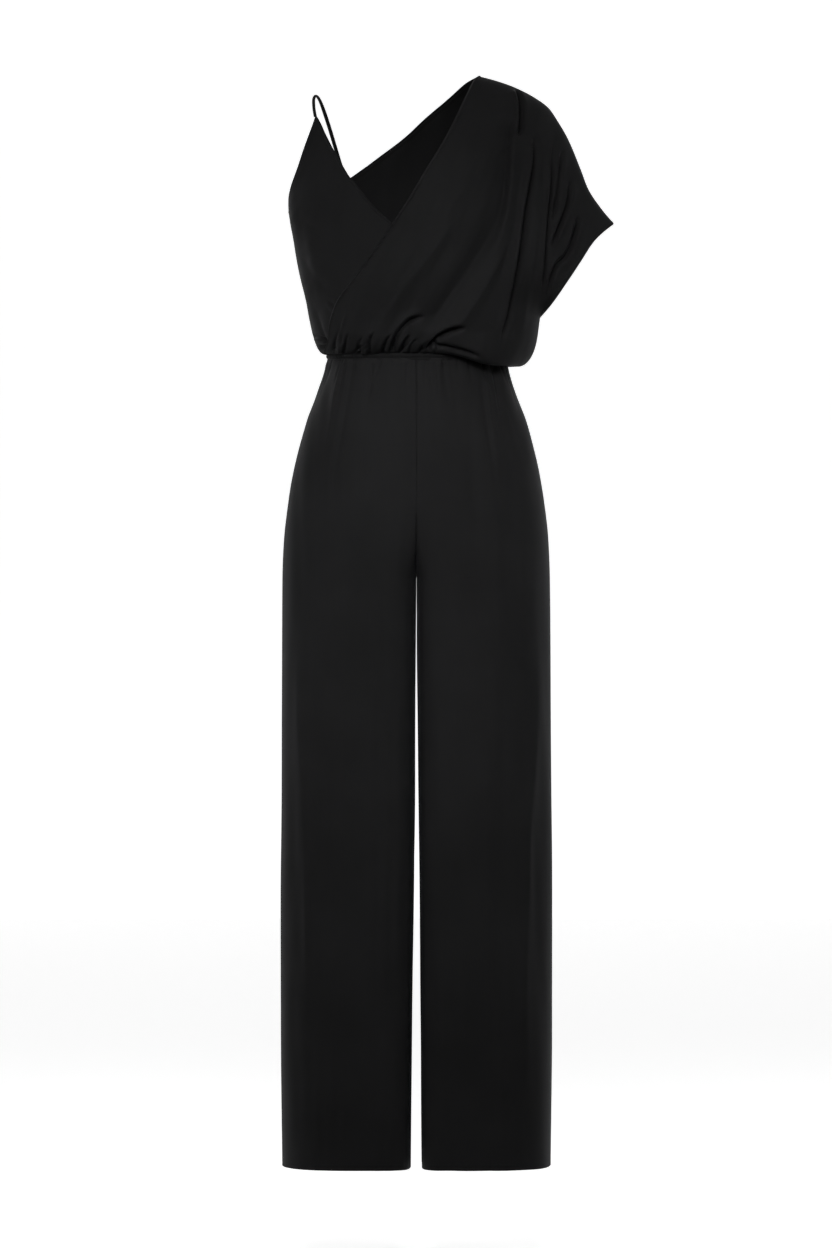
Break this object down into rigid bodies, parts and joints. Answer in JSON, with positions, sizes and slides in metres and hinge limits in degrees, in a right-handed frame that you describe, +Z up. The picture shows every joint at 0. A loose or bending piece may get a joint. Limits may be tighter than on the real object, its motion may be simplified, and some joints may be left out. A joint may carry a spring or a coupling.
{
  "type": "one-shoulder wide-leg jumpsuit",
  "caption": "Black one-shoulder jumpsuit: wrapped bloused bodice, draped wide sleeve, thin strap on the bare shoulder, elastic waist and straight wide trousers, hollow as worn.",
  "frame": {"origin": "the underside of the cloth on top of the covered shoulder, where the wearer's shoulder carries it, in the plane of the side seams", "axes": "+Z up the wearer, -Y the wearer's front, +X towards the sleeve, which is on the wearer's left"},
  "size_m": [0.4569, 0.2554, 1.496],
  "materials": {
    "crepe": "matt black crepe with a soft sheen at grazing angles",
    "casing": "the same crepe, ruched over elastic",
    "strap": "the same crepe turned into a thin rouleau"
  },
  "bodies": {
    "root": {"wrap_front_with_sleeve": "crepe", "strap_side_front": "crepe", "back_with_sleeve": "crepe", "trouser_front_strap_side": "crepe", "trouser_front_sleeve_side": "crepe", "trouser_back_strap_side": "crepe", "trouser_back_sleeve_side": "crepe", "waist_casing": "casing", "shoulder_strap": "strap"}
  },
  "joints": []
}
